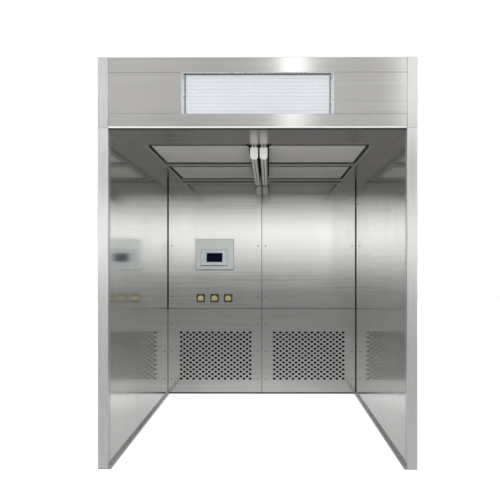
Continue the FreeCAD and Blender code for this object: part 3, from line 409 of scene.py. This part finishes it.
# Grey of the dark joints and of the painted shadow below the control plate and the display
JOINT_AND_SHADOW_GREY = mottled("joint_and_shadow_grey", (0.10, 0.105, 0.10), 0.6)
RIM_PLASTIC = mottled("rim_plastic", (0.78, 0.80, 0.90), 0.3)
RIM_BEZEL = mottled("rim_bezel", (0.93, 0.96, 0.97), 0.3, 0.6)
FILTER_PAPER = mottled("filter_paper", (0.79, 0.80, 0.83), 0.85, 0.0, 300.0, 0.03)
FILTER_BEAD = mottled("filter_bead", (0.72, 0.75, 0.78), 0.4)
FILM_WEAVE = woven("diffuser_weave", (0.80, 0.785, 0.74))
BRASS_LID = mottled("brass_lid", (0.76, 0.66, 0.38), 0.32, 1.0)


# Carried-over nodes

def paint(material, *names):
    for name in names:
        data = NODES[name].data
        data.materials.clear()
        data.materials.append(material)


def soften(width, *names):
    """Joins the split corners of carried-over meshes and breaks their sharp edges."""
    for name in names:
        weld = NODES[name].modifiers.new("weld", "WELD")
        weld.merge_threshold = 1e-5
        edges = NODES[name].modifiers.new("edges", "BEVEL")
        edges.width = width
        edges.segments = 2
        edges.limit_method = "ANGLE"
        edges.angle_limit = math.radians(40)
        edges.harden_normals = True


def dress_walls():
    """Side walls, back wall and casing."""
    paint(STEEL_BACK, "back_panel_left", "back_panel_right", "return_grille_left", "return_grille_right")
    paint(brushed("steel_lining", (0.95, 0.95, 0.93), "y", 0.125, 0.3),
          "left_wall_lining", "right_wall_lining")
    paint(brushed("steel_wall_panel", (0.60, 0.60, 0.59), "y", 0.25, 0.5),
          "left_wall_panel", "right_wall_panel")
    paint(mottled("honeycomb_board", (0.45, 0.36, 0.25), 0.9, 0.0, 120.0, 0.1), "wall_cores")
    paint(brushed("steel_post", (0.77, 0.77, 0.765), "z", 0.25, 0.6, metallic=0.75),
          "left_front_post", "right_front_post")
    paint(brushed("steel_base", (0.6, 0.6, 0.59), "y", 0.25, 0.5),
          "left_base_channel", "right_base_channel", "casing_floor")
    paint(brushed("steel_casing", (0.60, 0.60, 0.59), "x", 0.25, 0.5), "rear_panel_left", "rear_panel_right",
          "header_rear_panel", "header_side_left", "header_side_right", "roof_panel")
    paint(mottled("dark_primer", (0.05, 0.05, 0.052), 0.6), "back_wall_frame")
    soften(TUBE_EDGE, "left_front_post", "right_front_post")
    soften(PAN_EDGE, "back_panel_left", "back_panel_right", "rear_panel_left", "rear_panel_right",
           "header_rear_panel")


def dress_header():
    """Header with the exhaust window, and the ceiling behind it."""
    header_color = (0.64, 0.63, 0.61)
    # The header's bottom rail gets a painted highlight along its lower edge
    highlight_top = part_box("header_bottom_rail")[0].z + HIGHLIGHT_BAND_HEIGHT
    paint(brushed("steel_header_post", (0.68, 0.68, 0.675), "z", 0.25, 0.6, metallic=0.8),
          "header_post_left", "header_post_right")
    paint(brushed("steel_header", header_color, "x", 0.20, 0.6),
          "header_top_rail", "header_panel_left", "header_panel_right")
    paint(brushed("steel_header_painted_highlight", header_color, "x", 0.20, 0.6, highlight_top=highlight_top), "header_bottom_rail")
    paint(mottled("window_frame", (0.72, 0.78, 0.78), 0.3, 0.6), "exhaust_window_frame")
    paint(mottled("filter_case", (0.66, 0.69, 0.70), 0.4, 1.0), "exhaust_filter_frame")
    paint(brushed("steel_ceiling", (0.53, 0.508, 0.486), "x", 0.26, 0.3, "ceiling"),
          "ceiling_panel_left", "ceiling_panel_right")
    paint(brushed("aluminium_trim", (0.70, 0.69, 0.66), "y", 0.3, 0.3, "ceiling"),
          "diffuser_trim", "diffuser_frames")
    paint(FILM_WEAVE, "diffuser_films")
    soften(TUBE_EDGE, "header_top_rail", "header_bottom_rail", "header_panel_left", "header_panel_right",
           "header_post_left", "header_post_right")
    soften(PAN_EDGE, "ceiling_panel_left", "ceiling_panel_right", "diffuser_trim")


def dress_air_system():
    """Filters, fans and damper, with what carries them."""
    paint(mottled("galvanised", (0.50, 0.51, 0.52), 0.45, 1.0, 25.0, 0.12), "return_filter_rack", "fan_shelf",
          "exhaust_damper_frame", "exhaust_damper_blade", "supply_filter_rails")
    paint(FILTER_PAPER, "exhaust_filter_pleats", "supply_filters", "medium_filter_left",
          "medium_filter_right")
    paint(mottled("filter_pad", (0.010, 0.010, 0.011), 0.95, 0.0, 200.0, 0.2),
          "prefilter_left", "prefilter_right")
    paint(mottled("motor_paint", (0.06, 0.065, 0.07), 0.45), "fan_motor_left", "fan_motor_right")
    paint(mottled("wheel_aluminium", (0.6, 0.61, 0.63), 0.4, 1.0), "fan_wheel_left", "fan_wheel_right")


def dress_fittings():
    """Lamps, display, sockets and cable gland."""
    lids = ["socket_lid_1", "socket_lid_2", "socket_lid_3"]
    paint(lamp_cover("lamp_cover"), "lamp_left", "lamp_right")
    # The end caps glow a little: painted light, for light that the header keeps from them
    paint(mottled("lamp_cap", (0.88, 0.88, 0.86), 0.35, Emission_Color=tone((1.0, 1.0, 0.98)),
                  Emission_Strength=0.22), "lamp_end_caps")
    paint(mottled("control_enamel", (0.70, 0.75, 0.715), 0.22, 0.7, 200.0, 0.03), "control_plate")
    paint(mottled("bezel_plastic", (0.84, 0.93, 0.97), 0.3, 0.5, 150.0, 0.03), "hmi_housing")
    paint(screen_glass("display_glass"), "hmi_screen")
    # Brass darkened far below the lids' brass: painted shade of the recess around each lid
    paint(mottled("brass_plate_painted_shade", (0.13, 0.10, 0.03), 0.35, 1.0), "socket_frames")
    paint(BRASS_LID, *lids)
    paint(mottled("gland_nylon", (0.06, 0.06, 0.065), 0.5), "roof_cable_gland")
    soften(FITTING_EDGE, "hmi_housing", "control_plate", "socket_frames", "lamp_end_caps", *lids)


# Outlines and pieces made here

def rectangle(x0, x1, z0, z1):
    return [(x0, z0), (x1, z0), (x1, z1), (x0, z1)]


def inset_rectangle(low, high, inset):
    """Outline of a box seen from the front, moved inward by the inset."""
    return rectangle(low.x + inset, high.x - inset, low.z + inset, high.z - inset)


def obround(x, z, width, height, steps=5):
    """A slot outline: two half circles and two straight runs."""
    radius = height / 2
    points = []
    for end in (1, -1):
        middle = x + end * (width / 2 - radius)
        for index in range(steps + 1):
            angle = math.pi * (index / steps - 0.5 * end)
            points.append((middle + radius * math.cos(angle), z + radius * math.sin(angle)))
    return points


def add_sheet(bm, outlines, low_y, high_y, edge=0.0):
    """Adds a sheet that stands across X and Z: the first outline is its rim, the others are its holes."""
    curve = bpy.data.curves.new("outline", "CURVE")
    curve.dimensions = "2D"
    curve.fill_mode = "BOTH"
    curve.extrude = (high_y - low_y) / 2 - edge
    curve.bevel_depth = edge
    curve.bevel_resolution = 0
    curve.offset = -edge
    for outline in outlines:
        spline = curve.splines.new("POLY")
        spline.points.add(len(outline) - 1)
        spline.use_cyclic_u = True
        for point, (x, z) in zip(spline.points, outline):
            point.co = (x, z, 0, 1)
    drawn = bpy.data.objects.new("outline", curve)
    mesh = bpy.data.meshes.new_from_object(drawn)
    mesh.transform(Matrix.Translation((0, (low_y + high_y) / 2, 0)) @ Matrix.Rotation(math.pi / 2, 4, "X"))
    bm.from_mesh(mesh)
    bmesh.ops.remove_doubles(bm, verts=bm.verts, dist=1e-6)
    bpy.data.objects.remove(drawn)
    bpy.data.curves.remove(curve)
    bpy.data.meshes.remove(mesh)


def add_bar(bm, low, high):
    """Adds a straight bar between two opposite corners."""
    low, high = Vector(low), Vector(high)
    size = Matrix.Diagonal(high - low).to_4x4()
    bmesh.ops.create_cube(bm, size=1.0, matrix=Matrix.Translation((low + high) / 2) @ size)


def add_piece(name, bm, material, body=ROOT):
    """Turns a bmesh into a piece that moves with a body."""
    bmesh.ops.recalc_face_normals(bm, faces=bm.faces)
    mesh = bpy.data.meshes.new(name)
    bm.to_mesh(mesh)
    bm.free()
    mesh.materials.append(material)
    piece = bpy.data.objects.new(name, mesh)
    bpy.context.scene.collection.objects.link(piece)
    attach(piece, body)
    return piece


def add_grille(side):
    """Perforated sheet with its folded edges in place of the plain one."""
    node = "return_grille_" + side
    low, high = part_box(node)
    middle = (low.x + high.x) / 2 + (LEFT_HOLES_INWARD if side == "left" else 0)
    rim = inset_rectangle(low, high, 0)
    holes = []
    for row in range(HOLE_ROWS):
        count = HOLE_COLUMNS - row % 2
        first = middle - HOLE_PITCH * (count - 1) / 2
        z = FIRST_ROW_HEIGHT + ROW_PITCH * row
        for column in range(count):
            holes.append(obround(first + HOLE_PITCH * column, z, HOLE_WIDTH, HOLE_HEIGHT))
    bm = bmesh.new()
    add_sheet(bm, [rim] + holes, low.y, low.y + GRILLE_SHEET, STRIP_EDGE)
    add_sheet(bm, [rim, inset_rectangle(low, high, GRILLE_SHEET)], low.y + GRILLE_SHEET, high.y)
    piece = add_piece("perforated_grille_" + side, bm, STEEL_BACK)
    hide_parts(node)


def screw_ring(place, share, rise, radius, height, hexagon):
    """Points of a screw's ring, which looks to -Y."""
    points = []
    for index in range(SCREW_SIDES):
        angle = 2 * math.pi * index / SCREW_SIDES
        reach = share * radius
        if hexagon:
            reach *= math.cos(math.pi / 6) / math.cos(angle % (math.pi / 3) - math.pi / 6)
        outward = Vector((reach * math.cos(angle), -rise * height, reach * math.sin(angle)))
        points.append(Vector(place) + outward)
    return points


def add_screw_heads(bm, places, radius, height):
    """Button heads with a hexagon socket, seated at places on a face that looks to -Y."""
    profile = [point + (False,) for point in HEAD_PROFILE] + [point + (True,) for point in SOCKET_PROFILE]
    for place in places:
        rings = []
        for share, rise, hexagon in profile:
            ring = screw_ring(place, share, rise, radius, height, hexagon)
            rings.append([bm.verts.new(point) for point in ring])
        for near, far in zip(rings, rings[1:]):
            for index in range(SCREW_SIDES):
                after = (index + 1) % SCREW_SIDES
                bm.faces.new((near[index], near[after], far[after], far[index]))
        bm.faces.new(rings[-1])
        bm.faces.new(reversed(rings[0]))


def add_panel_screws():
    low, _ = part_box("back_panel_left")
    _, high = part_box("back_panel_right")
    inset = SCREW_INSET - CORNER_GAP
    columns = (low.x + inset, -SCREW_INSET, SCREW_INSET, high.x - inset)
    bm = bmesh.new()
    add_screw_heads(bm, [(x, low.y, z) for x in columns for z in SCREW_HEIGHTS], SCREW_RADIUS, SCREW_HEIGHT)
    add_piece("back_wall_screws", bm, STEEL_SCREW)


def add_plate_screws():
    low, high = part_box("control_plate")
    corners = inset_rectangle(low, high, PLATE_SCREW_INSET)
    bm = bmesh.new()
    add_screw_heads(bm, [(x, low.y, z) for x, z in corners], PLATE_SCREW_RADIUS, PLATE_SCREW_HEIGHT)
    add_piece("control_plate_screws", bm, STEEL_SCREW)


def add_window_gasket_and_shade():
    """Strip along the top and the sides of the exhaust filter's face, inside the splayed frame: a gasket
    whose dark width also paints the shade of the recess.
    """
    low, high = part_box("exhaust_window_frame")
    x0, x1 = low.x + WINDOW_FOOT, high.x - WINDOW_FOOT
    z0, z1 = low.z + WINDOW_PLAY, high.z - WINDOW_PLAY
    inner_x0, inner_x1, inner_z = x0 + GASKET_AND_SHADE_SIDE, x1 - GASKET_AND_SHADE_SIDE, z1 - GASKET_AND_SHADE_TOP
    outline = [
        (x0, z0), (inner_x0, z0), (inner_x0, inner_z), (inner_x1, inner_z),
        (inner_x1, z0), (x1, z0), (x1, z1), (x0, z1),
    ]
    bm = bmesh.new()
    add_sheet(bm, [outline], high.y - GASKET_AND_SHADE_PROUD, high.y)
    add_piece("window_gasket_and_shade", bm, RUBBER_AND_PAINTED_SHADE)


def add_header_seals_and_shade():
    """Dark strips in the header's seams and beside its posts, and painted shade: a dark strip in front of the
    ceiling pans.
    """
    low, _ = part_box("header_post_left")
    post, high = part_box("header_post_right")
    pane_low, pane_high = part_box("header_panel_right")
    pan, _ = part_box("ceiling_panel_left")
    half = SEAL_WIDTH / 2
    strips = [
        rectangle(-post.x, post.x, pane_low.z - half, pane_low.z + half),
        rectangle(-post.x, post.x, pane_high.z - half, pane_high.z + half),
        rectangle(low.x + SEAL_END, -post.x, low.z - half, low.z + half),
        rectangle(post.x, high.x - SEAL_END, low.z - half, low.z + half),
        rectangle(-post.x - half, -post.x + half, low.z, high.z - SEAL_END),
        rectangle(post.x - half, post.x + half, low.z, high.z - SEAL_END),
    ]
    bm = bmesh.new()
    near, far = SEAL_DEPTH
    for strip in strips:
        add_sheet(bm, [strip], low.y + near, low.y + far, SEAL_EDGE)
    # Painted shade under the header's bottom rail, in front of the ceiling pans
    below, above = CEILING_SHADE_PLAY
    before, behind = CEILING_SHADE_REACH
    strip = rectangle(-post.x + SEAL_END, post.x - SEAL_END, pan.z + below, low.z - above)
    add_sheet(bm, [strip], pan.y - before, pan.y + behind, CEILING_SHADE_EDGE)
    add_piece("header_seals_and_shade", bm, RUBBER_AND_PAINTED_SHADE)


def add_back_wall_shade():
    """Painted shade: dark strips in the lower corners of the back wall, and in the gap between the grilles
    and the floor, where the shade falls.
    """
    low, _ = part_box("return_grille_left")
    _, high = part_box("return_grille_right")
    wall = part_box("right_wall_lining")[0].x
    play, depth = CORNER_SHADE_PLAY, CORNER_SHADE_DEPTH
    left, right = CORNER_SHADES
    bm = bmesh.new()
    for x0, x1 in ((-wall + play, -wall + left), (wall - right, wall - play)):
        add_sheet(bm, [rectangle(x0, x1, low.z, high.z)], low.y - depth, low.y, STRIP_EDGE)
    gap = rectangle(-wall + play, wall - play, FLOOR_PLAY, low.z - play)
    add_sheet(bm, [gap], low.y, low.y + depth, STRIP_EDGE)
    add_piece("back_wall_painted_shade", bm, RUBBER_AND_PAINTED_SHADE)


def add_control_joints_and_shadows():
    """Dark joint lines around the cover plate and the display housing, widened below into a painted shadow of
    each.
    """
    bm = bmesh.new()
    for node, carrier, sides, below in JOINTS_AND_SHADOWS:
        low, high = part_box(node)
        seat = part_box(carrier)[0].y
        outer = rectangle(low.x - sides, high.x + sides, low.z - below, high.z + sides / 2)
        add_sheet(bm, [outer, inset_rectangle(low, high, JOINT_AND_SHADOW_LAP)], seat - JOINT_AND_SHADOW_DEPTH, seat, STRIP_EDGE)
    add_piece("control_joints_and_shadows", bm, JOINT_AND_SHADOW_GREY)


def add_lamp_shade():
    """Painted shade: dark strips that close the ceiling beside and between the lamps, where the gaps lie in
    shade.
    """
    low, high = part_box("lamp_right")
    film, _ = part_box("diffuser_films")
    outer = high.x + LAMP_SHADE_WIDTH
    half = LAMP_SHADE_HEIGHT / 2
    bm = bmesh.new()
    for x0, x1 in ((-outer, -high.x), (-low.x, low.x), (high.x, outer)):
        add_bar(bm, (x0, low.y - LAMP_SHADE_END, film.z - half), (x1, high.y + LAMP_SHADE_END, film.z + half))
    add_piece("lamp_painted_shade", bm, RUBBER_AND_PAINTED_SHADE)


def add_diffuser_hems():
    """Folded hem along the inner edge of each diffuser, which nearly closes the gap toward the lamps."""
    _, lamp_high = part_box("lamp_right")
    low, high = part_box("diffuser_films")
    # Outer edge of the painted shade beside the lamps
    shade_edge = lamp_high.x + LAMP_SHADE_WIDTH
    bm = bmesh.new()
    for x0, x1 in ((-FILM_INNER_X, -shade_edge), (shade_edge, FILM_INNER_X)):
        for start, end in FILM_SPANS:
            add_bar(bm, (x0, start, low.z), (x1, end, high.z))
    add_piece("diffuser_hems", bm, FILM_WEAVE)


def add_filter_pack():
    """Paper in close vertical pleats."""
    low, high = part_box("exhaust_filter_pleats")
    count = round((high.x - low.x) / FINE_PLEAT_PITCH)
    half = (high.x - low.x) / count / 2
    corners = []
    for index in range(2 * count + 1):
        corners.append((low.x + half * index, low.y + FINE_PLEAT_DEPTH * (1 - index % 2)))
    corners += [(high.x, high.y), (low.x, high.y)]
    bm = bmesh.new()
    around = [[bm.verts.new((x, y, z)) for z in (low.z, high.z)] for x, y in corners]
    for near, far in zip(around, around[1:] + around[:1]):
        bm.faces.new((near[0], far[0], far[1], near[1]))
    for level in (0, 1):
        bm.faces.new([pair[level] for pair in around])
    pack = add_piece("exhaust_filter_pack", bm, FILTER_PAPER)
    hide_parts("exhaust_filter_pleats")


def add_filter_beads():
    """Horizontal glue beads that keep the pleats apart."""
    low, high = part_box("exhaust_filter_pleats")
    count = round((high.z - low.z) / BEAD_PITCH)
    bm = bmesh.new()
    for index in range(1, count):
        z = low.z + (high.z - low.z) * index / count
        bead = rectangle(low.x, high.x, z - BEAD_WIDTH / 2, z + BEAD_WIDTH / 2)
        add_sheet(bm, [bead], low.y - BEAD_PROUD, low.y + BEAD_SUNK, STRIP_EDGE)
    add_piece("exhaust_filter_beads", bm, FILTER_BEAD)


def add_rim(name, node, rim, front, material, body=ROOT):
    """Raised line around a rectangle that lies inset from the node's sides."""
    low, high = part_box(node)
    inset, width = rim
    outlines = [inset_rectangle(low, high, inset), inset_rectangle(low, high, inset + width)]
    bm = bmesh.new()
    add_sheet(bm, outlines, front - RIM_PROUD, front, RIM_EDGE)
    add_piece(name, bm, material, body)


def add_rims():
    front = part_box("hmi_housing")[0].y
    add_rim("display_rim", "hmi_screen", DISPLAY_RIM, front, RIM_PLASTIC)
    add_rim("bezel_rim", "hmi_housing", BEZEL_RIM, front, RIM_BEZEL)
    for number in "123":
        lid = "socket_lid_" + number
        add_rim("lid_rim_" + number, lid, LID_RIM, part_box(lid)[0].y, BRASS_LID, lid)


# Floor, light and camera

def add_floor():
    """Pale floor with a glow of its own to the eye; in metal it fades with the distance from the booth."""
    bpy.ops.mesh.primitive_plane_add(size=FLOOR_SIZE, location=(0, 0, 0))
    floor = bpy.context.object
    floor.name = "floor"
    s = Shade("floor_paint")
    s.put(Roughness=0.9)
    path = s.add("ShaderNodeLightPath")
    s.link(s.mix(path.outputs["Is Camera Ray"], FLOOR_COLOR, FLOOR_SEEN), s.bsdf.inputs["Base Color"])
    length = s.add("ShaderNodeVectorMath", operation="DISTANCE")
    length.inputs[1].default_value = BACK_FOOT
    s.link(s.place, length.inputs[0])
    glow, mirrored = s.add("ShaderNodeEmission"), s.add("ShaderNodeEmission")
    s.link(s.math("MULTIPLY", path.outputs["Is Camera Ray"], FLOOR_GLOW), glow.inputs["Strength"])
    stops = [(reach, grey(level)) for reach, level in FLOOR_MIRRORED]
    s.link(s.graded(length.outputs["Value"], stops), mirrored.inputs["Color"])
    both = s.add("ShaderNodeAddShader")
    s.link(s.bsdf.outputs[0], both.inputs[0])
    s.link(glow.outputs[0], both.inputs[1])
    surface = s.either(s.in_metal(path), both.outputs[0], mirrored.outputs[0])
    s.link(surface, s.output.inputs["Surface"])
    floor.data.materials.append(s.material)


def set_room():
    """White behind the booth, an even grey for matt surfaces, and a softly banded room for metal."""
    world = bpy.data.worlds.new("studio")
    bpy.context.scene.world = world
    world.use_nodes = True
    g = Graph(world.node_tree)
    path = g.add("ShaderNodeLightPath")
    split = g.add("ShaderNodeSeparateXYZ")
    g.link(g.add("ShaderNodeTexCoord").outputs["Generated"], split.inputs[0])
    rises = [(math.sin(math.radians(elevation)), grey(level)) for elevation, level in ROOM_LEVELS]
    across = g.graded(split.outputs["X"], [(share, grey(level)) for share, level in ROOM_ACROSS])
    mirrored, seen, matt = (g.add("ShaderNodeBackground") for _ in range(3))
    g.link(g.graded(split.outputs["Z"], rises), mirrored.inputs["Color"])
    g.link(g.math("MULTIPLY", across, ROOM_BRIGHTEST), mirrored.inputs["Strength"])
    seen.inputs["Color"].default_value = grey(1.0)
    matt.inputs["Color"].default_value = grey(ROOM_LEVEL)
    unseen = g.either(g.in_metal(path), matt.outputs[0], mirrored.outputs[0])
    surface = g.either(path.outputs["Is Camera Ray"], unseen, seen.outputs[0])
    g.link(surface, g.add("ShaderNodeOutputWorld").inputs["Surface"])


def add_lamp(name, place, aim, size, power, in_metal):
    data = bpy.data.lights.new(name, "AREA")
    data.shape = "RECTANGLE"
    data.size, data.size_y = size
    data.energy = power
    lamp = bpy.data.objects.new(name, data)
    lamp.location = place
    lamp.rotation_euler = (Vector(aim) - Vector(place)).to_track_quat("-Z", "Y").to_euler()
    lamp.visible_glossy = in_metal
    bpy.context.scene.collection.objects.link(lamp)


def set_camera():
    data = bpy.data.cameras.new("camera")
    data.sensor_width = CAMERA_SENSOR
    data.lens = CAMERA_LENS
    data.shift_x, data.shift_y = CAMERA_SHIFT
    camera = bpy.data.objects.new("camera", data)
    camera.location = CAMERA_PLACE
    camera.rotation_euler = (math.pi / 2, 0, CAMERA_YAW)
    bpy.context.scene.collection.objects.link(camera)
    bpy.context.scene.camera = camera


dress_walls()
dress_header()
dress_air_system()
dress_fittings()
for side in SIDES:
    add_grille(side)
add_panel_screws()
add_plate_screws()
add_window_gasket_and_shade()
add_header_seals_and_shade()
add_back_wall_shade()
add_control_joints_and_shadows()
add_lamp_shade()
add_diffuser_hems()
add_filter_pack()
add_filter_beads()
add_rims()
add_floor()
set_room()
for lamp in LAMPS:
    add_lamp(*lamp)
set_camera()
bpy.context.scene.view_settings.view_transform = "Standard"
